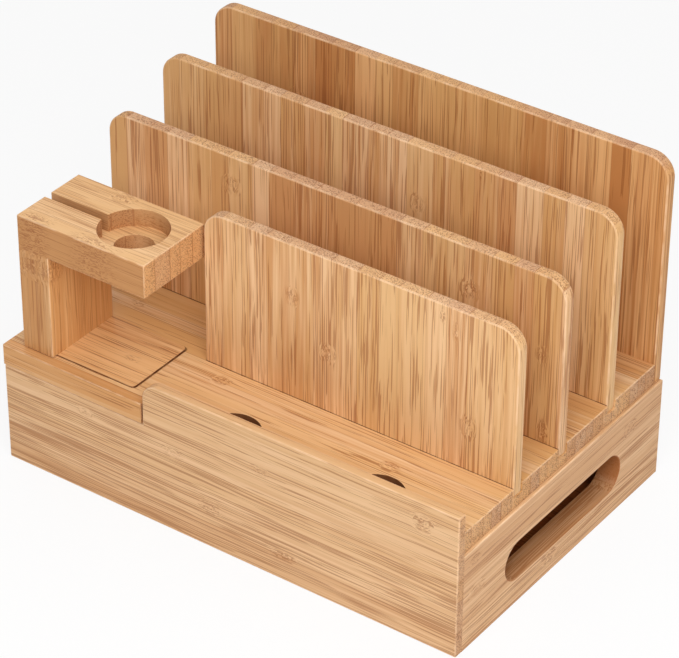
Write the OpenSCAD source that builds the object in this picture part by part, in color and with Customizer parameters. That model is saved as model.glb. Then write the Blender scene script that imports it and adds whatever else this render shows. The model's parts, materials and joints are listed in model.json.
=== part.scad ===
// Bamboo charging station organizer: a low lidded box, a lid with a tall back board,
// three lift-out dividers and a lift-out watch stand.
// X runs along the front, Y runs from front to back, Z is up.
// The origin is the centre of the box's footprint, on the surface that it stands on.

/* [Box] */
// Length of the box along its front
box_l = 225; // [200:1:300]
// Height of the side and back panels
side_h = 46.5; // [42:0.5:80]
// Thickness of the side and back panels
wall_t = 9.6; // [7:0.2:14]
// Thickness of the front panel, the lip included
front_t = 4.3; // [3:0.1:8]
// Thickness of the bottom panel
bottom_t = 5; // [3:0.5:8]
// Depth of the rebate that holds the bottom panel's edges
rebate_d = 4.5; // [2:0.5:5.5]

/* [Front lip] */
// Height of the lip above the lid's top face
lip_rise = 10.8; // [9:0.2:20]
// Radius of the lip's top left corner
lip_r = 7.5; // [2:0.5:9]

/* [Cable slot in the right panel] */
// Length of the slot, its round ends included
slot_l = 85; // [50:1:100]
// Height of the slot
slot_h = 18; // [10:0.5:22]
// Height of the slot's lower edge
slot_z = 12.2; // [8:0.2:16]
// Distance from the box's front face to the slot's front end
slot_y = 34; // [20:1:40]

/* [Device bays] */
// Clear width between the lip and the front divider
front_bay = 35.9; // [33:0.1:50]
// Clear width between the front and middle dividers
second_bay = 26.8; // [15:0.1:50]
// Clear width between the middle and rear dividers
third_bay = 31; // [15:0.1:50]
// Clear width between the rear divider and the back board
rear_bay = 30.5; // [15:0.1:50]

/* [Dividers and back board] */
// Thickness of the dividers and the back board
divider_t = 5.5; // [4:0.1:8]
// Height of the front divider above the lid
front_divider_h = 71.8; // [40:0.1:100]
// Height of the middle divider above the lid
middle_divider_h = 77.1; // [40:0.1:110]
// Height of the rear divider above the lid
rear_divider_h = 87.7; // [40:0.1:120]
// Height of the back board above the lid
back_board_h = 96.2; // [50:0.1:130]
// Radius of the top corners
corner_r = 9.6; // [3:0.2:20]
// Depth of the grooves that the dividers stand in
groove_d = 4.2; // [2:0.1:5]
// Gap between a divider and each side of its groove
groove_gap = 0.2; // [0.1:0.05:0.4]
// Distance from the lid's ends to the ends of the long dividers
divider_end = 0.3; // [0:0.1:3]
// How far the rear divider has slid along its groove, to the right
rear_slip = -0.4; // [-3:0.1:3]

/* [Lid] */
// Thickness of the lid board
lid_t = 9.7; // [8:0.1:14]
// How much shorter the lid is than the box
lid_short = 0.8; // [0:0.1:2]
// How far the loose lid lies from the middle, to the right
lid_slip = -1; // [-1.1:0.1:0]
// Gap between the lid's front edge and the lip
lid_gap = 0.3; // [0.2:0.1:0.6]
// Gap between the lid's front tongue and the lip's end
tongue_gap = 0.9; // [0.3:0.1:1.5]
// Radius of the round-ended cable notches in the lid's front edge
notch_r = 12; // [6:0.5:14]
// How far the notches reach back from the lid's front edge
notch_reach = 14.5; // [14:0.1:20]
// Distance from the lid's right end to the middle of the right notch
notch_end = 42.2; // [30:0.1:50]
// Distance between the middles of the two notches
notch_pitch = 69.2; // [40:0.1:80]

/* [Lid cleats] */
// Width of the cleats under the lid
cleat_w = 8; // [5:0.5:12]
// Height of the cleats
cleat_h = 6; // [4:0.5:9]
// Length of the cleats
cleat_l = 100; // [60:1:120]
// Gap between the cleats and the box's sides when the lid lies in the middle
cleat_gap = 1.5; // [1.2:0.1:3]

/* [Watch stand] */
// Distance from the box's left end to the stand
stand_x = 7.6; // [5:0.1:15]
// Distance from the box's front face to the stand
stand_y = 4.1; // [1:0.1:8]
// Depth of the post and the arm
stand_w = 38.9; // [36:0.1:55]
// Thickness of the post
post_t = 15.3; // [10:0.1:20]
// Clear height between the base plate and the arm
reach_h = 47.8; // [40:0.1:70]
// Length of the arm
arm_l = 64.8; // [60:0.1:80]
// Thickness of the arm
arm_t = 15.4; // [12:0.1:20]
// Gap between the arm's end and the front divider
arm_gap = 1.5; // [1:0.1:5]
// Diameter of the recess that takes the watch charger's puck
puck_d = 29.5; // [26:0.1:34]
// Depth of the recess
puck_depth = 8; // [4:0.1:10]
// Distance from the arm's free end to the middle of the recess
puck_inset = 20.5; // [18:0.1:24]
// Diameter of the hole through the recess's floor
push_hole_d = 16.4; // [8:0.1:22]
// Width of the cable groove from the recess to the arm's left end
cable_groove_w = 4; // [2.5:0.1:8]

/* [Stand base plate] */
// Thickness of the base plate
plate_t = 5.5; // [4:0.1:6.5]
// How far the plate stands out of its pocket
plate_proud = 0.3; // [0.3:0.1:1]
// Length of the plate that shows beyond the post
plate_reach = 39.4; // [30:0.1:48]
// Distance from the post's front and left faces to the plate's edges
plate_inset = 3; // [2:0.1:6]
// Distance from the post's back face to the plate's back edge
plate_back_inset = 0.5; // [0:0.1:4]
// Radius of the plate's corners
plate_r = 2.2; // [1:0.1:5]
// Gap between the plate and its pocket's front, back and left walls
pocket_gap = 0.3; // [0.2:0.1:0.6]
// Gap between the plate and its pocket's right wall
pocket_end_gap = 0.9; // [0.3:0.1:2]

/* [Hidden] */
$fn = 96;

// Cutters run this far past the faces that they cut
past = 1;

// Box
box_w = front_t + front_bay + second_bay + third_bay + rear_bay + 4 * divider_t;
left = -box_l / 2;
right = box_l / 2;
front = -box_w / 2;
back = box_w / 2;
inner_front = front + front_t;

// Lid
lid_top = side_h + lid_t;
lid_l = box_l - lid_short;
lid_left = -lid_l / 2 + lid_slip;
lid_right = lid_left + lid_l;
lid_front = inner_front + lid_gap;
lid_back = back - divider_t;

// Front faces of the dividers
front_divider_y = inner_front + front_bay;
middle_divider_y = front_divider_y + divider_t + second_bay;
rear_divider_y = middle_divider_y + divider_t + third_bay;

// Watch stand
stand_left = left + stand_x;
stand_front = front + stand_y;
arm_right = stand_left + arm_l;
plate_left = stand_left + plate_inset;
plate_front = stand_front + plate_inset;
plate_l = post_t - plate_inset + plate_reach;
plate_w = stand_w - plate_inset - plate_back_inset;
plate_top = lid_top + plate_proud;
plate_bottom = plate_top - plate_t;
arm_bottom = plate_top + reach_h;
puck_x = arm_right - puck_inset;
puck_y = stand_front + stand_w / 2;

// The lip starts in line with the arm's end, and the front divider a little beyond it
lip_left = arm_right + 0.2;
front_divider_left = arm_right + arm_gap;
front_divider_right = lid_right - divider_end;

bamboo_light = [0.88, 0.70, 0.50];
bamboo = [0.84, 0.64, 0.42];
bamboo_warm = [0.80, 0.58, 0.35];

// A flat board from its lowest corner and its three sizes
module board(corner, size) {
    translate(corner) cube(size);
}

// A rectangle with its lowest corner at the origin and round corners of radius r
module round_plate_outline(l, w, r) {
    translate([r, 0]) square([l - 2 * r, w]);
    translate([0, r]) square([l, w - 2 * r]);
    for (x = [r, l - r], y = [r, w - r]) translate([x, y]) circle(r);
}

// An upright outline with square feet, and round top corners of radius r where asked for
module upright_outline(l, h, r, round_left = true, round_right = true) {
    square([l, h - r]);
    translate([round_left ? r : 0, h - r])
        square([l - (round_left ? r : 0) - (round_right ? r : 0), r]);
    if (round_left) translate([r, h - r]) circle(r);
    if (round_right) translate([l - r, h - r]) circle(r);
}

// An upright board: an outline drawn in X and Z, standing with its front face at y
module upright(x, y, z, t) {
    translate([x, y + t, z]) rotate([90, 0, 0]) linear_extrude(t) children();
}

// A slot outline with round ends, from its lowest corner
module stadium_outline(l, h) {
    r = h / 2;
    translate([r, 0]) square([l - h, h]);
    for (x = [r, l - r]) translate([x, r]) circle(r);
}

// Front panel: one full-length board whose right part rises past the lid as the lip
module front_panel() {
    color(bamboo_light) {
        board([left, front, 0], [box_l, front_t, side_h]);
        upright(lip_left, front, side_h, front_t)
            upright_outline(right - lip_left, lid_t + lip_rise, lip_r, true, false);
    }
}

// Side panel in the left panel's place, with the rebate for the bottom panel
module side_panel() {
    difference() {
        board([left, inner_front, 0], [wall_t, back - inner_front, side_h]);
        board([left + wall_t - rebate_d, inner_front - past, -past],
            [rebate_d + past, back - wall_t + rebate_d - inner_front + past, bottom_t + past]);
    }
}

module left_panel() {
    color(bamboo) side_panel();
}

module right_panel() {
    color(bamboo) difference() {
        mirror([1, 0, 0]) side_panel();
        translate([right - wall_t - past, front + slot_y, slot_z])
            rotate([90, 0, 90]) linear_extrude(wall_t + 2 * past) stadium_outline(slot_l, slot_h);
    }
}

// Back panel: fits between the side panels, with the rebate for the bottom panel
module back_panel() {
    color(bamboo) difference() {
        board([left + wall_t, back - wall_t, 0], [box_l - 2 * wall_t, wall_t, side_h]);
        board([left, back - wall_t - past, -past], [box_l, rebate_d + past, bottom_t + past]);
    }
}

module bottom_panel() {
    inset = wall_t - rebate_d;
    color(bamboo_warm)
        board([left + inset, inner_front, 0],
            [box_l - 2 * inset, back - inset - inner_front, bottom_t]);
}

// Cutter for a divider's groove in the lid
module groove_cut(x1, x2, y) {
    board([x1, y - groove_gap, lid_top - groove_d],
        [x2 - x1, divider_t + 2 * groove_gap, groove_d + past]);
}

// Cutter for a round-ended cable notch in the lid's front edge
module notch_cut(x) {
    y = lid_front + notch_reach - notch_r;
    translate([x, y, side_h - past]) cylinder(h = lid_t + 2 * past, r = notch_r);
    board([x - notch_r, lid_front - past, side_h - past],
        [2 * notch_r, y - lid_front + past, lid_t + 2 * past]);
}

// Cutter for the pocket that the stand's base plate drops into
module pocket_cut() {
    translate([plate_left - pocket_gap, plate_front - pocket_gap, plate_bottom])
        linear_extrude(plate_t + past)
            round_plate_outline(plate_l + pocket_gap + pocket_end_gap, plate_w + 2 * pocket_gap, plate_r);
}

// Lid board: a tongue at the front left lies on the front panel, beside the lip
module lid_board() {
    color(bamboo) difference() {
        union() {
            board([lid_left, lid_front, side_h], [lid_l, lid_back - lid_front, lid_t]);
            board([lid_left, front, side_h],
                [lip_left - tongue_gap - lid_left, lid_front - front, lid_t]);
        }
        groove_cut(front_divider_left - groove_gap, lid_right + past, front_divider_y);
        groove_cut(lid_left - past, lid_right + past, middle_divider_y);
        groove_cut(lid_left - past, lid_right + past, rear_divider_y);
        for (i = [0, 1]) notch_cut(lid_right - notch_end - i * notch_pitch);
        pocket_cut();
    }
}

// Back board: glued to the lid's rear edge, its foot on the box's back panel
module back_board() {
    color(bamboo_warm)
        upright(lid_left, lid_back, side_h, divider_t)
            upright_outline(lid_l, lid_t + back_board_h, corner_r);
}

// Cleat under the lid's left end, which keeps the lid in place on the box
module cleat() {
    board([left + wall_t + cleat_gap, -cleat_l / 2, side_h - cleat_h], [cleat_w, cleat_l, cleat_h]);
}

module lid_cleat_left() {
    color(bamboo_warm) translate([lid_slip, 0, 0]) cleat();
}

module lid_cleat_right() {
    color(bamboo_warm) translate([lid_slip, 0, 0]) mirror([1, 0, 0]) cleat();
}

// A divider standing on the floor of its groove
module divider(x, y, l, h) {
    upright(x, y, lid_top - groove_d, divider_t) upright_outline(l, groove_d + h, corner_r);
}

module front_divider() {
    color(bamboo_light)
        divider(front_divider_left, front_divider_y,
            front_divider_right - front_divider_left, front_divider_h);
}

module middle_divider() {
    color(bamboo)
        divider(lid_left + divider_end, middle_divider_y, lid_l - 2 * divider_end, middle_divider_h);
}

module rear_divider() {
    color(bamboo)
        divider(lid_left + divider_end + rear_slip, rear_divider_y,
            lid_l - 2 * divider_end, rear_divider_h);
}

// Base plate: drops into the lid's pocket and carries the post
module stand_plate() {
    color(bamboo_light)
        translate([plate_left, plate_front, plate_bottom])
            linear_extrude(plate_t) round_plate_outline(plate_l, plate_w, plate_r);
}

module stand_post() {
    color(bamboo)
        board([stand_left, stand_front, plate_top], [post_t, stand_w, reach_h]);
}

// Arm: stepped recess for a watch charger's puck, with a groove for its lead
module stand_arm() {
    arm_top = arm_bottom + arm_t;
    floor_z = arm_top - puck_depth;
    color(bamboo_light) difference() {
        board([stand_left, stand_front, arm_bottom], [arm_l, stand_w, arm_t]);
        translate([puck_x, puck_y, floor_z]) cylinder(h = puck_depth + past, d = puck_d);
        translate([puck_x, puck_y, arm_bottom - past]) cylinder(h = arm_t + 2 * past, d = push_hole_d);
        board([stand_left - past, puck_y - cable_groove_w / 2, floor_z],
            [puck_x - stand_left + past, cable_groove_w, puck_depth + past]);
    }
}

front_panel();
left_panel();
right_panel();
back_panel();
bottom_panel();
lid_board();
back_board();
lid_cleat_left();
lid_cleat_right();
front_divider();
middle_divider();
rear_divider();
stand_plate();
stand_post();
stand_arm();
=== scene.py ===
# %% [markdown]
# # A bamboo charging station
#
# The real object is glued up from bamboo boards: a low box that hides a charger, a loose lid with
# three upright dividers and a tall back board, and a little stand for a watch charger.
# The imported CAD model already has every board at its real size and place, so this lesson is about
# the finish: how bamboo looks along its grain, across its strips and on its ends, and how a sanded
# edge catches the light.

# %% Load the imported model
import json
import math

import bmesh
import bpy
import numpy as np
from mathutils import Matrix, Vector


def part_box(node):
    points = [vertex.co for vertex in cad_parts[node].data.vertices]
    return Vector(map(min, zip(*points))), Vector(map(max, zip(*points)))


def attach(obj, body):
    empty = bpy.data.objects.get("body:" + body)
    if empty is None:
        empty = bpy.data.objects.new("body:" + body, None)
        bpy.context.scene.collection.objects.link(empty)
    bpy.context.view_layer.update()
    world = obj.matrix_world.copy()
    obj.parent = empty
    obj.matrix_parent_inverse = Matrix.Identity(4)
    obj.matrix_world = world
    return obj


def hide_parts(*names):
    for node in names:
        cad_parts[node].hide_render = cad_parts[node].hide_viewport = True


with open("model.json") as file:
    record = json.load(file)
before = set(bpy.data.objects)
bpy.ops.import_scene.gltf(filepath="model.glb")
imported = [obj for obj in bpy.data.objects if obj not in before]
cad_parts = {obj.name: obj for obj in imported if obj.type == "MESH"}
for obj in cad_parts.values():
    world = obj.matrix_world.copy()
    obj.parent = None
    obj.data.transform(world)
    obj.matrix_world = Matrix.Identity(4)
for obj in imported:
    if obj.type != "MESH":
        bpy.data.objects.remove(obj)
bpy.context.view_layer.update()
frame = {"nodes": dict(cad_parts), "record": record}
MM = 0.001

# %% [markdown]
# ## The camera
#
# A product photograph is taken from a few steps away with a long lens, which keeps upright edges
# nearly parallel. The camera could be pointed by eye, but here its turn, height and distance come
# from matching the box's own corners and edges, so the render lies over the photograph.

# %% Place the camera
PHOTO_WIDTH = 679
FOCAL_PIXELS = 3178.6
AZIMUTH, ELEVATION, ROLL = 35.467, 33.826, 0.378
DISTANCE = 1287.4 * MM
AIM = Vector((5.22, -3.08, 71.47)) * MM


def camera_axes(azimuth, elevation, roll):
    """The camera's right, up and back directions.

    Back points from the object to the camera: turned by the azimuth from -Y towards +X, then
    raised by the elevation. Right is level, up is back times right, and the roll turns both."""
    a, e, r = (math.radians(v) for v in (azimuth, elevation, roll))
    back = Vector((math.sin(a) * math.cos(e), -math.cos(a) * math.cos(e), math.sin(e)))
    level = Vector((math.cos(a), math.sin(a), 0))
    upright = back.cross(level)
    right = math.cos(r) * level + math.sin(r) * upright
    up = math.cos(r) * upright - math.sin(r) * level
    return right, up, back


right, up, back = camera_axes(AZIMUTH, ELEVATION, ROLL)
lens = bpy.data.cameras.new("camera")
lens.sensor_width = 36
lens.lens = FOCAL_PIXELS * lens.sensor_width / PHOTO_WIDTH
camera = bpy.data.objects.new("camera", lens)
bpy.context.scene.collection.objects.link(camera)
turn = Matrix((right, up, back)).transposed().to_4x4()
camera.matrix_world = Matrix.Translation(AIM + DISTANCE * back) @ turn
bpy.context.scene.camera = camera
print("lens:", round(lens.lens, 1), "mm")

# %% [markdown]
# ## Eased edges and cut faces
#
# Every free edge of the real boards is sanded round by half a millimetre or so, and the light line
# along it is what makes the wood look handled. A bevel in the shader would leave the outline sharp,
# so each board is a merged copy of its CAD mesh whose free edges are bevelled. Edges that are glued
# against another board of the same body stay sharp, because a joint is sanded flush. The rims of
# grooves, pockets and holes are eased much less, and the faces inside them are marked so that the
# finish can darken them, partly as a cutter's browning and partly as painted shade in the cuts.

# %% Which boards touch
FREE_EDGE_ANGLE = math.radians(30)
CURVE_ANGLE = math.radians(20)
TOUCH = 0.02 * MM
bodies = frame["record"]["behaviour"]["bodies"]
body_of = {node: body for body, nodes in bodies.items() for node in nodes}


def neighbour_boxes(node):
    """Lowest and highest corners of the other boards that share the node's body."""
    return [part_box(other) for other in bodies[body_of[node]] if other != node]


def inside(point, low, high, axes=(0, 1, 2)):
    """True where a point lies in a box or on its skin, looking only along the given axes."""
    return all(low[k] - TOUCH <= point[k] <= high[k] + TOUCH for k in axes)


def outer_planes(point, low, high, near):
    """How many of a box's six planes pass within the given distance of a point."""
    return sum(abs(point[k] - corner[k]) < near for k in range(3) for corner in (low, high))


def split_at_neighbours(mesh, boxes):
    """Cuts each straight edge in two where a neighbour's box begins or ends along it."""
    for low, high in boxes:
        for axis in range(3):
            others = [k for k in range(3) if k != axis]
            for value in (low[axis], high[axis]):
                for edge in list(mesh.edges):
                    a, b = edge.verts[0].co, edge.verts[1].co
                    level = all(abs(a[k] - b[k]) < TOUCH for k in others)
                    crosses = min(a[axis], b[axis]) + TOUCH < value < max(a[axis], b[axis]) - TOUCH
                    if level and crosses and inside(a, low, high, others):
                        share = (value - a[axis]) / (b[axis] - a[axis])
                        bmesh.utils.edge_split(edge, edge.verts[0], share)


# %% Copy a board and ease its free edges
def merged_copy(node, rim):
    """A board's CAD mesh with its loose triangles joined, and a bevel weight on each free edge.

    An edge is free where its two faces turn outwards by more than 30 degrees and its middle
    touches no other board of its body. Its weight is 1, or rim where one of its faces is inside
    the board's box, as the walls of a groove are."""
    boxes = neighbour_boxes(node)
    low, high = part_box(node)
    board = bmesh.new()
    board.from_mesh(frame["nodes"][node].data)
    bmesh.ops.remove_doubles(board, verts=board.verts, dist=0.002 * MM)
    bmesh.ops.dissolve_limit(board, angle_limit=math.radians(0.2), verts=board.verts, edges=board.edges)
    split_at_neighbours(board, boxes)
    for face in board.faces:
        bends = [edge.calc_face_angle(0) for edge in face.edges]
        face.smooth = any(math.radians(0.5) < bend < CURVE_ANGLE for bend in bends)
    weight = board.edges.layers.float.new("bevel_weight_edge")
    for edge in board.edges:
        middle = (edge.verts[0].co + edge.verts[1].co) / 2
        sharp = edge.is_convex and edge.calc_face_angle(0) > FREE_EDGE_ANGLE
        if sharp and not any(inside(middle, *box) for box in boxes):
            centres = [face.calc_center_median() for face in edge.link_faces]
            cut = any(outer_planes(centre, low, high, TOUCH) == 0 for centre in centres)
            edge[weight] = rim if cut else 1.0
    mesh = bpy.data.meshes.new(node + "_eased")
    board.to_mesh(mesh)
    board.free()
    return mesh


def mark_faces(mesh, low, high, width, rim):
    """Writes the face attributes eased and cut, each 0 or 1.

    The bevel's own faces, in material slot 1, are eased. Where the rims are eased less than the
    outer edges, a face inside the board's box is cut, and so is a bevel that touches only one of
    the box's planes, because it follows the rim of a cut."""
    count = len(mesh.polygons)
    centres = np.empty(count * 3)
    slots = np.empty(count, int)
    mesh.polygons.foreach_get("center", centres)
    mesh.polygons.foreach_get("material_index", slots)
    centres = centres.reshape(-1, 3)
    planes = np.stack([np.array(low), np.array(high)])
    away = np.abs(centres[:, None, :] - planes[None])
    bevelled = slots == 1
    near = (away < np.where(bevelled, width * 1.1, TOUCH)[:, None, None]).sum(axis=(1, 2))
    cut = (near < 1 + bevelled) & (rim < 1)
    for name, marked in (("eased", bevelled & ~cut), ("cut", cut)):
        mesh.attributes.new(name, "FLOAT", "FACE").data.foreach_set("value", marked.astype(float))
    mesh.polygons.foreach_set("material_index", np.zeros(count, int))
    smooth = np.empty(count, bool)
    mesh.polygons.foreach_get("use_smooth", smooth)
    mesh.polygons.foreach_set("use_smooth", smooth | bevelled)
    return int(bevelled.sum()), int(cut.sum())


def eased(node, width, rim=1.0):
    """A board's copy with its free edges rounded to a width, and the rims of its cuts to a share of it."""
    low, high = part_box(node)
    piece = bpy.data.objects.new(node + "_eased", merged_copy(node, rim))
    bpy.context.scene.collection.objects.link(piece)
    for slot in range(2):
        piece.data.materials.append(None)
    bevel = piece.modifiers.new("eased", "BEVEL")
    bevel.limit_method = "WEIGHT"
    bevel.width = width
    bevel.segments = 3
    bevel.material = 1
    ready = piece.evaluated_get(bpy.context.evaluated_depsgraph_get())
    piece.data = bpy.data.meshes.new_from_object(ready)
    piece.modifiers.clear()
    bevelled, cut = mark_faces(piece.data, low, high, width, rim)
    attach(piece, body_of[node])
    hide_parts(node)
    print(f"{piece.name}: {len(piece.data.polygons)} faces, {bevelled} eased, {cut} cut")
    return piece


# %% [markdown]
# ## Bamboo as a material
#
# Laminated bamboo is strips of a hollow grass, planed square and glued side by side. Each strip has
# its own tone. Inside it run hard dark strands, long and thin, which show as pencil strokes on a
# face and as dots on an end. Now and then a strip shows a knuckle, where the strands curl and
# darken. One solid pattern in the board's own coordinates gives all of these on every face at once,
# which a flat picture of wood can't do, so the strands that stroke along a face also end as dots.

# %% A helper that writes shader formulas
class Formula:
    """Adds nodes to one material, so that a formula reads as nested calls."""

    def __init__(self, material):
        self.nodes = material.node_tree.nodes
        self.links = material.node_tree.links

    def put(self, socket, value):
        """Links a socket to a value, or sets it."""
        if isinstance(value, bpy.types.NodeSocket):
            self.links.new(value, socket)
        elif value is not None:
            socket.default_value = value

    def node(self, kind, **settings):
        made = self.nodes.new(kind)
        for key, value in settings.items():
            setattr(made, key, value)
        return made

    def math(self, operation, a, b=None, c=None):
        made = self.node("ShaderNodeMath", operation=operation)
        for socket, value in zip(made.inputs, (a, b, c)):
            self.put(socket, value)
        return made.outputs[0]

    def vector(self, operation, a, b=None, scale=None):
        made = self.node("ShaderNodeVectorMath", operation=operation)
        self.put(made.inputs[0], a)
        self.put(made.inputs[1], b)
        if scale is not None:
            self.put(made.inputs["Scale"], scale)
        return made.outputs["Value" if operation in ("LENGTH", "DOT_PRODUCT") else "Vector"]

    def join(self, x, y, z):
        made = self.node("ShaderNodeCombineXYZ")
        for socket, value in zip(made.inputs, (x, y, z)):
            self.put(socket, value)
        return made.outputs[0]

    def split(self, value):
        made = self.node("ShaderNodeSeparateXYZ")
        self.put(made.inputs[0], value)
        return made.outputs

    def step(self, value, low, high, to_low=0.0, to_high=1.0):
        """A smooth step of the value, from to_low at low to to_high at high."""
        made = self.node("ShaderNodeMapRange", interpolation_type="SMOOTHSTEP")
        for socket, v in zip(made.inputs, (value, low, high, to_low, to_high)):
            self.put(socket, v)
        return made.outputs[0]

    def noise(self, place, detail=1.0, scale=1.0):
        made = self.node("ShaderNodeTexNoise")
        self.put(made.inputs["Vector"], place)
        if scale is not None:
            self.put(made.inputs["Scale"], scale)
        self.put(made.inputs["Detail"], detail)
        return made.outputs["Fac"]

    def random(self, number):
        """Three random numbers from 0 to 1 that stay the same for the same number."""
        made = self.node("ShaderNodeTexWhiteNoise", noise_dimensions="1D")
        self.put(made.inputs["W"], number)
        return self.split(made.outputs["Color"])

    def mix(self, share, a, b, blend="MIX"):
        made = self.node("ShaderNodeMix", data_type="RGBA", blend_type=blend)
        for socket, value in zip((made.inputs[0], made.inputs[6], made.inputs[7]), (share, a, b)):
            self.put(socket, value)
        return made.outputs[2]

    def add(self, *values):
        total = values[0]
        for value in values[1:]:
            total = self.math("ADD", total, value)
        return total

    def times(self, *values):
        total = values[0]
        for value in values[1:]:
            total = self.math("MULTIPLY", total, value)
        return total


def colour(red, green, blue):
    """A colour picked on screen, from 0 to 255, as the linear value that a shader works with.

    Above a small toe it is ((c + 0.055) / 1.055) to the power 2.4."""
    share = np.array((red, green, blue)) / 255
    linear = np.where(share <= 0.04045, share / 12.92, ((share + 0.055) / 1.055) ** 2.4)
    return (*linear.tolist(), 1.0)


# %% Parts of the pattern
AXES = {"X": 0, "Y": 1, "Z": 2}


def cells(f, u, side, deep, length, width, detail=1.0):
    """Noise drawn out along the grain: about length millimetres long and width millimetres wide."""
    return f.noise(f.join(f.times(u, 1 / length), f.times(side, 1 / width), f.times(deep, 1 / width)), detail)


def knuckle_spots(f, u, v, curl, knuckles):
    """Soft ovals, 1 in the middle and 0 outside, with how far strands bend there, and dark rings.

    Each knuckle is (along, across, half width, half length). A point at distance d from its long
    axis takes the strand that lies at d / 2 elsewhere, so strands part and close round its middle.
    The rings are a sine of the distance from the middle, which the curl makes uneven, and
    scattered noise breaks them into arcs."""
    spots, spread, rings = 0.0, 0.0, 0.0
    for along, across, half_width, half_length in knuckles:
        off_axis = f.math("SUBTRACT", v, across)
        away = f.join(f.times(f.math("SUBTRACT", u, along), 1 / half_length),
                      f.times(off_axis, 1 / half_width), 0.0)
        distance = f.vector("LENGTH", away)
        spot = f.step(distance, 1.2, 0.3)
        wave = f.math("SINE", f.add(f.times(distance, 15.0), f.times(curl, 7.0)))
        spots = f.math("MAXIMUM", spots, spot)
        spread = f.add(spread, f.times(spot, off_axis, -0.5))
        rings = f.add(rings, f.times(f.step(distance, 1.1, 0.4), f.step(distance, 0.1, 0.35), wave))
    broken = f.step(f.noise(f.vector("SCALE", f.join(u, v, 0.0), scale=0.55)), 0.46, 0.58)
    return spots, spread, f.times(f.step(rings, 0.1, 0.8), broken)


def strip_pattern(f, v, start, width, seed):
    """Which strip a point is in, as three random numbers, and how far it is from the strip's sides.

    The strip's number is the whole part of (v - start) / width, to which a slow wave is added so
    that the widths differ by a tenth or two."""
    strips = f.math("DIVIDE", f.math("SUBTRACT", v, start), width)
    strips = f.add(strips, f.times(f.math("SINE", f.times(strips, 2.3)), 0.12))
    number = f.math("FLOOR", strips)
    part = f.math("FRACT", strips)
    to_seam = f.times(f.math("MINIMUM", part, f.math("SUBTRACT", 1.0, part)), width)
    return f.random(f.add(number, seed * 37.0)), part, to_seam, f.times(f.add(number, seed), 61.7)


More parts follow.
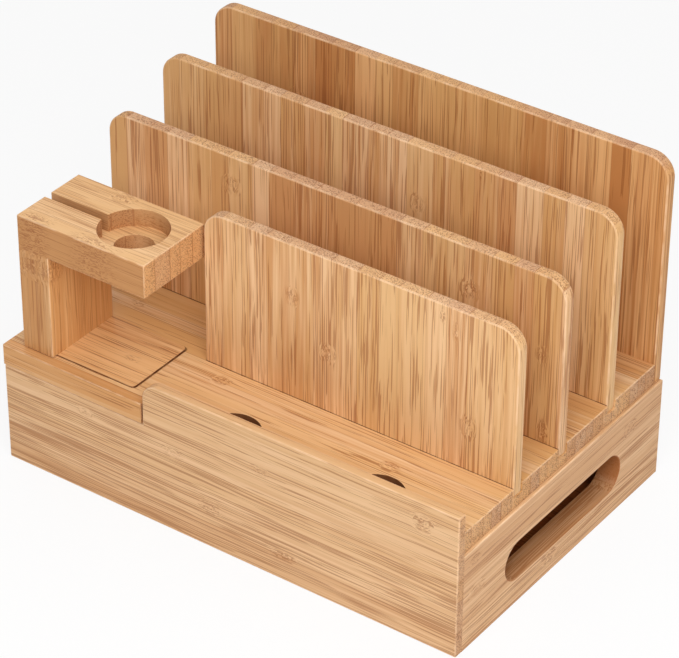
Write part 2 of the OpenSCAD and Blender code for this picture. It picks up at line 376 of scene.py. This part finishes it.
# %% The bamboo finish
def bamboo(name, grain, across, strip, start, seed, pale, warm, yellow, stroke, ends, knuckles=(),
           strand=0.6, length=60, crowding=0.5, sway=1.6, tone_spread=0.5, streaks=1.6,
           stroke_share=0.7, seam_share=0.5, dash_share=0.5, ring_share=0.0, worn_share=0.45,
           dot_share=0.65, cut_share=0.0, cut_floor=0.0, cut_box=None, cut_brown_and_shade=None, zones=(), foot_shadow=None):
    """Laminated bamboo on Object coordinates, worked out in millimetres.

    grain and across are axis letters: strands run along the first, strips lie side by side along
    the second, strip millimetres wide from start on. A point's tone is the sum of its strip's
    random tone, broad bands and thin streaks. Strokes and dots are cuts through the same long
    cells, strand millimetres thick, which sway from side to side. zones are (from, to, shift)
    across the strips, where the board is darker or, with a negative shift, paler; on the dividers,
    the back board and the lid some zones are painted shade and painted light. ends are the two
    tones of the end grain. Upright cut faces take cut_share of the cut tone and level ones
    cut_floor, or only those within cut_box, which is (from, to) along the grain and (from, to)
    across it; the cut tone is partly a cutter's browning and partly painted shade. foot_shadow is
    (axis letters, from, to): faces turned along those axes have a painted shadow line between
    those heights, where the board enters a groove or pocket."""
    material = bpy.data.materials.new(name)
    material.use_nodes = True
    f = Formula(material)
    shader = f.nodes["Principled BSDF"]
    coordinates = f.node("ShaderNodeTexCoord")
    place = f.split(f.vector("SCALE", coordinates.outputs["Object"], scale=1 / MM))
    through = "XYZ".replace(grain, "").replace(across, "")
    u, v, w = (place[AXES[axis]] for axis in (grain, across, through))
    (tone, hue, crowd), part, to_seam, offset = strip_pattern(f, v, start, strip, seed)

    # The grain sways slowly along the board and parts round a knuckle
    curl = f.noise(f.join(f.times(u, 0.42), f.times(v, 0.3), f.times(w, 0.3)), 1.0)
    knuckle, spread, rings = knuckle_spots(f, u, v, curl, knuckles)
    wander = f.noise(f.join(f.times(u, 1 / 55), f.times(v, 1 / 18), f.times(w, 1 / 18)))
    bend = f.add(spread, f.times(f.math("SUBTRACT", curl, 0.5), knuckle, 2.0),
                 f.times(f.math("SUBTRACT", wander, 0.5), sway))
    side = f.add(v, bend, offset)
    deep = f.add(w, bend, offset)

    # Strands, from strokes to broad bands
    fine = cells(f, u, side, deep, length, strand, 1.0)
    thin = cells(f, u, side, deep, length * 2, strand * 2.2, 2.0)
    broad = cells(f, u, side, deep, 160, 6.5)
    patch = cells(f, u, side, deep, 40, 3.6)
    limit = f.add(0.64 - 0.14 * crowding, f.times(f.math("SUBTRACT", patch, 0.5), -0.36),
                  f.times(f.math("SUBTRACT", crowd, 0.5), -0.10))
    strokes = f.step(f.math("SUBTRACT", fine, limit), 0.0, 0.05)
    tone = f.add(f.times(f.math("SUBTRACT", tone, 0.5), tone_spread),
                 f.times(f.math("SUBTRACT", broad, 0.5), 0.8),
                 f.times(f.math("SUBTRACT", thin, 0.5), streaks), 0.5)
    for low, high, shift in zones:
        tone = f.add(tone, f.times(f.step(v, low - 0.2, low), f.step(v, high + 0.2, high), shift))
    face = f.mix(f.step(tone, 0.05, 0.95), pale, warm)
    face = f.mix(f.times(f.step(f.add(f.times(hue, 0.6), f.times(patch, 0.6)), 0.3, 0.9), 0.55), face, yellow)
    face = f.mix(f.times(strokes, stroke_share), face, stroke)

    # Rings and short dashes where a knuckle crosses the strands
    face = f.mix(f.times(rings, ring_share), face, stroke)
    dashes = f.step(cells(f, u, side, deep, 4.5, 0.5), 0.48, 0.6)
    dashes = f.times(dashes, knuckle)
    face = f.mix(f.times(dashes, dash_share), face, stroke)

    # Dots of the cut strands, denser towards one side of each strip, where the surface turns its
    # end towards the grain
    normal = f.split(coordinates.outputs["Normal"])
    end = f.step(f.math("ABSOLUTE", normal[AXES[grain]]), 0.35, 0.85)
    dot = f.step(cells(f, u, side, deep, 30, 0.5, 0.0), f.add(0.60, f.times(part, -0.12)),
                 f.add(0.72, f.times(part, -0.12)))
    end_pale = f.mix(f.step(hue, 0.15, 0.85), *ends)
    end_colour = f.mix(f.times(dot, dot_share), f.mix(0.35, end_pale, face), END_DOT)
    face = f.mix(f.times(end, 0.85), face, end_colour)

    # Seams: a thin dark line where two strips are glued, stronger at some than at others
    seam = f.times(f.step(to_seam, 0.3, 0.06), f.add(0.2, f.times(crowd, 0.8)),
                   f.math("MAXIMUM", seam_share, f.times(end, 0.8)))
    face = f.mix(seam, face, stroke)

    # Handled edges are paler, and unevenly so. Cut faces are darkened: partly browning from the cutter, partly
    # painted shade inside the cuts.
    edge = f.node("ShaderNodeAttribute", attribute_name="eased").outputs["Fac"]
    worn = f.times(edge, f.step(f.noise(f.vector("SCALE", f.join(u, v, w), scale=0.16)), 0.3, 0.7, 0.1, worn_share))
    face = f.mix(worn, face, WORN)
    if cut_share:
        cut = f.node("ShaderNodeAttribute", attribute_name="cut").outputs["Fac"]
        if cut_box:
            for value, (low, high) in zip((u, v), cut_box):
                cut = f.times(cut, f.step(value, low - 0.2, low), f.step(value, high + 0.2, high))
        level = f.math("ABSOLUTE", normal[AXES["Z"]])
        face = f.mix(f.times(cut, f.step(level, 0.5, 0.9, cut_share, cut_floor)), face, cut_brown_and_shade or BROWN_AND_SHADE)
    # Painted shadow: a thin dark line where the board enters a groove or a pocket
    if foot_shadow:
        axes, bottom, top = foot_shadow
        turned = 0.0
        for axis in axes:
            turned = f.math("MAXIMUM", turned, f.step(f.math("ABSOLUTE", normal[AXES[axis]]), 0.6, 0.8))
        height = place[AXES["Z"]]
        line = f.times(f.step(height, top + SHADOW_BLUR, top - SHADOW_BLUR),
                       f.step(height, bottom - SHADOW_BLUR, bottom + SHADOW_BLUR))
        uneven = f.step(f.noise(f.vector("SCALE", f.join(u, v, w), scale=0.2)), 0.3, 0.7, 0.6, 0.95)
        face = f.mix(f.times(turned, line, uneven), face, BROWN_AND_SHADE)
    f.put(shader.inputs["Base Color"], face)

    # Sanded bamboo under a thin oil shines weakly, so its shaded faces keep their colour
    shader.inputs["Specular IOR Level"].default_value = SHEEN
    rough = f.add(0.46, f.times(f.math("SUBTRACT", thin, 0.5), 0.25), f.times(strokes, 0.08), f.times(end, 0.16))
    f.put(shader.inputs["Roughness"], rough)
    relief = f.math("SUBTRACT", f.times(fine, 0.5), f.add(f.times(strokes, 0.6), seam, f.times(dashes, 0.4)))
    bump = f.node("ShaderNodeBump")
    bump.inputs["Strength"].default_value = 0.35
    bump.inputs["Distance"].default_value = 0.06 * MM
    f.put(bump.inputs["Height"], relief)
    f.put(shader.inputs["Normal"], bump.outputs[0])
    return material


# %% [markdown]
# ## One finish for each board
#
# Boards are sawn from different bamboo, so tones and strip widths change from board to board: wide
# pale strips lie flat in the box's front, narrow warm ones stand on edge in the lid, and the
# dividers have upright strips about a centimetre wide. One shared material would repeat the same
# knuckles everywhere, so each board has its own, made by the same function from a few values.

# %% Choose the tones
SHEEN = 0.22
END_DOT = colour(116, 70, 42)
WORN = colour(246, 210, 172)
# The next tone darkens cut faces, partly as a cutter's browning and partly as painted shade, and draws the painted
# shadow lines where boards enter grooves and pockets.
BROWN_AND_SHADE = colour(98, 52, 24)
# The next tone darkens the walls of the side panel's slot, partly as browning and partly as painted shade.
SLOT_BROWN_AND_SHADE = colour(158, 92, 40)
# Painted shade for the walls of the arm's recess, hole and groove.
RECESS_SHADE = colour(150, 92, 50)
YELLOW = colour(216, 170, 108)
PALE = dict(pale=colour(229, 190, 147), warm=colour(206, 158, 113), yellow=colour(217, 174, 124),
            stroke=colour(158, 103, 62), ends=(colour(188, 142, 110), colour(206, 153, 104)))
LID = dict(pale=colour(236, 200, 157), warm=colour(206, 150, 94), yellow=colour(222, 174, 114),
           stroke=colour(160, 98, 50), ends=(colour(184, 137, 104), colour(204, 152, 104)))
UPRIGHT_ENDS = (colour(206, 163, 130), colour(220, 172, 124))
UPRIGHT = dict(pale=colour(236, 194, 148), warm=colour(206, 150, 98), yellow=YELLOW,
               stroke=colour(154, 90, 46), ends=UPRIGHT_ENDS)
BACK = dict(pale=colour(228, 176, 120), warm=colour(190, 128, 74), yellow=YELLOW,
            stroke=colour(142, 80, 36), ends=UPRIGHT_ENDS)
STAND = dict(pale=colour(236, 192, 142), warm=colour(198, 136, 79), yellow=colour(221, 170, 111),
             stroke=colour(148, 86, 44), ends=(colour(196, 146, 104), colour(206, 150, 98)))
ARM = dict(STAND, warm=colour(188, 128, 75))
# Painted shade: the boards inside the closed box take dark tones, as in its shade.
SHADED_INSIDE = dict(pale=colour(154, 86, 42), warm=colour(112, 54, 24), yellow=colour(158, 94, 46),
              stroke=colour(84, 40, 18), ends=(colour(188, 142, 110), colour(206, 153, 104)))

# Painted shadow: a dark line where a board stands in a groove or a pocket
LID_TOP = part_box("lid_board")[1][2] / MM
PLATE_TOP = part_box("stand_plate")[1][2] / MM
SHADOW_BLUR = 0.06
GROOVE_SHADOW = ("Y", LID_TOP - 0.4, LID_TOP + 0.16)
POCKET_SHADOW = ("XY", PLATE_TOP - 1.1, PLATE_TOP - 0.12)

# %% Make every board
finishes = {
    "front_panel": dict(grain="X", across="Z", strip=12.2, start=0.8, seed=1, width=0.5, **PALE,
                        length=80, strand=0.5, crowding=0.7, tone_spread=0.35, stroke_share=0.65,
                        seam_share=0.35, dash_share=0.2, ring_share=0.4,
                        knuckles=[(-6.5, 20, 3.6, 6), (19, 49, 2.6, 5), (-25, 39, 3, 6), (96, 58, 5, 6),
                                  (-70, 40, 2.4, 5), (30, 12, 2.4, 8)]),
    "left_panel": dict(grain="Y", across="Z", strip=15.5, start=0, seed=2, width=0.5, **PALE,
                       length=80, strand=0.5, crowding=0.5, tone_spread=0.35, seam_share=0.3,
                       dash_share=0.2, ring_share=0.35,
                       knuckles=[(-20, 12, 4, 6), (38, 34, 5, 6)]),
    # The walls of its slot are darkened, partly as browning and partly as painted shade.
    "right_panel": dict(grain="Y", across="Z", strip=15.5, start=0, seed=3, width=0.5, rim=0.7, **PALE,
                        length=80, strand=0.5, crowding=0.65, tone_spread=0.35, seam_share=0.3,
                        dash_share=0.2, ring_share=0.35, cut_share=0.85, cut_floor=0.5,
                        cut_brown_and_shade=SLOT_BROWN_AND_SHADE, zones=[(-5, 60, 0.22)],
                        knuckles=[(-63, 41, 2.5, 5), (-61, 25, 3.5, 6), (-9, 8, 3.5, 6), (50, 36, 4, 6)]),
    "back_panel": dict(grain="X", across="Z", strip=15.5, start=0, seed=4, width=0.5, **PALE,
                       length=80, strand=0.5, crowding=0.5, tone_spread=0.35, seam_share=0.3,
                       dash_share=0.2, ring_share=0.35,
                       knuckles=[(-60, 12, 4, 6), (10, 35, 4, 6), (74, 20, 5, 7)]),
    "bottom_panel": dict(grain="X", across="Y", strip=15.5, start=0, seed=5, width=0.4, crowding=0.2,
                         **SHADED_INSIDE),
    # On the lid, the paler zone from -70.6 to -35, in front of the front divider, is painted light, and the darker
    # zone from -35 to 34 is painted shade. Its notch walls within cut_box are darkened, partly as browning and
    # partly as painted shade.
    "lid_board": dict(grain="X", across="Y", strip=6.7, start=-70.6, seed=6, width=0.45, rim=0.2, **LID,
                      length=90, strand=0.48, crowding=0.15, tone_spread=0.55, streaks=0.9,
                      seam_share=0.35, ring_share=0.3, dot_share=0.8, cut_share=0.9,
                      cut_box=((-20, 110), (-70, -50)),
                      zones=[(-80, -70.6, 0.6), (-70.6, -35, -0.1), (-35, 34, 0.2)],
                      knuckles=[(-87, -18, 3, 4), (-25, -43, 3.2, 5), (2, -61, 3, 5), (64, -51, 3.2, 5),
                                (-60, 12, 3, 5), (30, 46, 3, 5)]),
    # Its darker left end, the zone from -114 to -71, is painted shade.
    "back_board": dict(grain="Z", across="X", strip=10.4, start=-113, seed=7, width=0.6, **BACK,
                       length=60, crowding=0.5, stroke_share=0.55, streaks=1.4, tone_spread=0.85,
                       zones=[(-114, -71, 0.35), (-30, 32, -0.1), (60, 114, 0.25)],
                       knuckles=[(96, 20, 5, 5), (120, -70, 5, 5), (88, 84, 5, 5)]),
    "lid_cleat_left": dict(grain="Y", across="X", strip=8, start=0, seed=8, width=0.4, **SHADED_INSIDE),
    "lid_cleat_right": dict(grain="Y", across="X", strip=8, start=0, seed=9, width=0.4, **SHADED_INSIDE),
    # Its paler right end, the zone from 60 to 120, is painted light.
    "front_divider": dict(grain="Z", across="X", strip=10.6, start=-38.6, seed=10, width=0.6, **UPRIGHT,
                          length=35, crowding=0.6, stroke_share=0.6, tone_spread=0.5,
                          zones=[(60, 120, -0.2)], foot_shadow=GROOVE_SHADOW,
                          knuckles=[(118, 82, 1.8, 5), (122.5, 76, 2, 4), (76.5, 89, 4, 6), (84, 22, 4.5, 5),
                                    (104, 5, 4, 5)]),
    # Its darker left end and middle, the zones from -114 to -60 and from -30 to 32, are painted shade.
    "middle_divider": dict(grain="Z", across="X", strip=10.5, start=-112.8, seed=11, width=0.6, **UPRIGHT,
                           length=50, crowding=0.5, stroke_share=0.6, streaks=1.5, tone_spread=0.85,
                           zones=[(-114, -60, 0.35), (-30, 32, 0.6)], foot_shadow=GROOVE_SHADOW,
                           knuckles=[(120, -49, 5, 5), (114, 67, 5, 5), (97, 101, 3, 5), (61, 103, 3, 6)]),
    # Its darker left end, the zone from -114 to -71, is painted shade.
    "rear_divider": dict(grain="Z", across="X", strip=10.5, start=-113.4, seed=12, width=0.6, **UPRIGHT,
                         length=50, crowding=0.5, stroke_share=0.6, streaks=1.5, tone_spread=0.85,
                         zones=[(-114, -71, 0.4), (-30, 32, 0.15)], foot_shadow=GROOVE_SHADOW,
                         knuckles=[(117, 17, 4, 5), (141, 47, 1.2, 4), (100, -70, 5, 5)]),
    "stand_plate": dict(grain="X", across="Y", strip=12, start=-68, seed=13, width=0.3, **STAND,
                        crowding=0.5, seam_share=0.9, worn_share=0.7, zones=[(-70, -30, -0.05)], foot_shadow=POCKET_SHADOW,
                        knuckles=[(-63, -52, 2.5, 4)]),
    "stand_post": dict(grain="Z", across="Y", strip=19.5, start=-71.2, seed=14, width=0.4, **STAND,
                       strand=0.5, crowding=0.4, stroke_share=0.5, zones=[(-75, -30, 0.3)],
                       knuckles=[(98, -68, 9, 7)]),
    # The walls of the arm's recess, hole and groove are darkened as painted shade.
    "stand_arm": dict(grain="X", across="Y", strip=7.8, start=-71.2, seed=15, width=0.45, rim=0.6, **ARM,
                      strand=0.4, crowding=0.3, streaks=1.1, tone_spread=0.4, stroke_share=0.5,
                      dash_share=0.55, dot_share=0.6, cut_share=0.45, cut_brown_and_shade=RECESS_SHADE,
                      zones=[(-75, -71, 0.85), (-70.6, -30, -0.4)],
                      knuckles=[(-66, -71, 8, 13), (-97, -71, 8, 9), (-78, -36, 5, 6)]),
}
for node, values in finishes.items():
    piece = eased(node, values.pop("width") * MM, values.pop("rim", 1.0))
    piece.data.materials.clear()
    piece.data.materials.append(bamboo(node + "_bamboo", **values))

# %% [markdown]
# ## Floor and light
#
# A studio shot of a small object uses a big softbox and a white sweep. The softbox hangs near the
# object, at the front right, so its light falls off towards the far left end, as real studio light
# does. A weak, wide lamp from behind and an even sky fill the shadows. The camera sees the sky and
# most of the floor at full white, but neither lights the object more for that. Together they are set
# so that a colour renders about as it is written on a face that looks up.

# %% Lay the floor
FLOOR_HALF = 3.0
FLOOR_Z = -0.05 * MM
FLOOR_ALBEDO = 0.88
FLOOR_LIFT = 0.85


def only_seen_directly(tree, kinds):
    """1 for the kinds of ray that show the background to the camera, 0 for those that light things."""
    rays = tree.nodes.new("ShaderNodeLightPath")
    total = rays.outputs[kinds[0]]
    for kind in kinds[1:]:
        either = tree.nodes.new("ShaderNodeMath")
        either.operation = "MAXIMUM"
        tree.links.new(total, either.inputs[0])
        tree.links.new(rays.outputs[kind], either.inputs[1])
        total = either.outputs[0]
    return total


corners = [(-1, -1), (1, -1), (1, 1), (-1, 1)]
floor_mesh = bpy.data.meshes.new("floor")
floor_mesh.from_pydata([(x * FLOOR_HALF, y * FLOOR_HALF, FLOOR_Z) for x, y in corners], [], [(0, 1, 2, 3)])
floor = bpy.data.objects.new("floor", floor_mesh)
bpy.context.scene.collection.objects.link(floor)
paper = bpy.data.materials.new("white_sweep")
paper.use_nodes = True
sheet = paper.node_tree
matt = sheet.nodes["Principled BSDF"]
matt.inputs["Base Color"].default_value = (FLOOR_ALBEDO, FLOOR_ALBEDO, FLOOR_ALBEDO, 1)
matt.inputs["Roughness"].default_value = 0.9
white = sheet.nodes.new("ShaderNodeEmission")
lift = sheet.nodes.new("ShaderNodeMath")
lift.operation = "MULTIPLY"
lift.inputs[1].default_value = FLOOR_LIFT
both = sheet.nodes.new("ShaderNodeMixShader")
sheet.links.new(only_seen_directly(sheet, ["Is Camera Ray"]), lift.inputs[0])
sheet.links.new(lift.outputs[0], both.inputs[0])
sheet.links.new(matt.outputs[0], both.inputs[1])
sheet.links.new(white.outputs[0], both.inputs[2])
sheet.links.new(both.outputs[0], sheet.nodes["Material Output"].inputs["Surface"])
floor_mesh.materials.append(paper)

# %% Hang the lights
SKY = 0.38
world = bpy.data.worlds.new("studio")
bpy.context.scene.world = world
world.use_nodes = True
sky = world.node_tree
background = sky.nodes["Background"]
background.inputs["Color"].default_value = (1, 1, 1, 1)
strength = sky.nodes.new("ShaderNodeMapRange")
strength.inputs["To Min"].default_value = SKY
strength.inputs["To Max"].default_value = 1.0
sky.links.new(only_seen_directly(sky, ["Is Camera Ray", "Is Glossy Ray", "Is Transmission Ray"]),
              strength.inputs["Value"])
sky.links.new(strength.outputs[0], background.inputs["Strength"])


def hang(name, lamp, azimuth, elevation, distance=0.0):
    """Puts a lamp in the given direction from the camera's aim, facing it."""
    direction = camera_axes(azimuth, elevation, 0)[2]
    hung = bpy.data.objects.new(name, lamp)
    bpy.context.scene.collection.objects.link(hung)
    hung.rotation_euler = direction.to_track_quat("Z", "Y").to_euler()
    hung.location = AIM + distance * direction
    print(name, "at", azimuth, elevation)


def softbox(name, azimuth, elevation, distance, size, light):
    """A square lamp near the object, with its light there in watts on a square metre.

    A flat lamp of power P sends P / pi to each unit of solid angle straight ahead, so the light at
    a distance is P / (pi times the distance squared)."""
    lamp = bpy.data.lights.new(name, "AREA")
    lamp.size = size
    lamp.energy = light * math.pi * distance ** 2
    hang(name, lamp, azimuth, elevation, distance)


def soft_sun(name, azimuth, elevation, light, width):
    """A lamp far away in the given direction, as wide as a softbox seen under that many degrees."""
    lamp = bpy.data.lights.new(name, "SUN")
    lamp.energy = light
    lamp.angle = math.radians(width)
    hang(name, lamp, azimuth, elevation)


softbox("key", 41, 45, 0.9, 0.8, 2.95)
soft_sun("back_fill", 205, 45, 0.6, 90)
bpy.context.scene.view_settings.view_transform = "Standard"
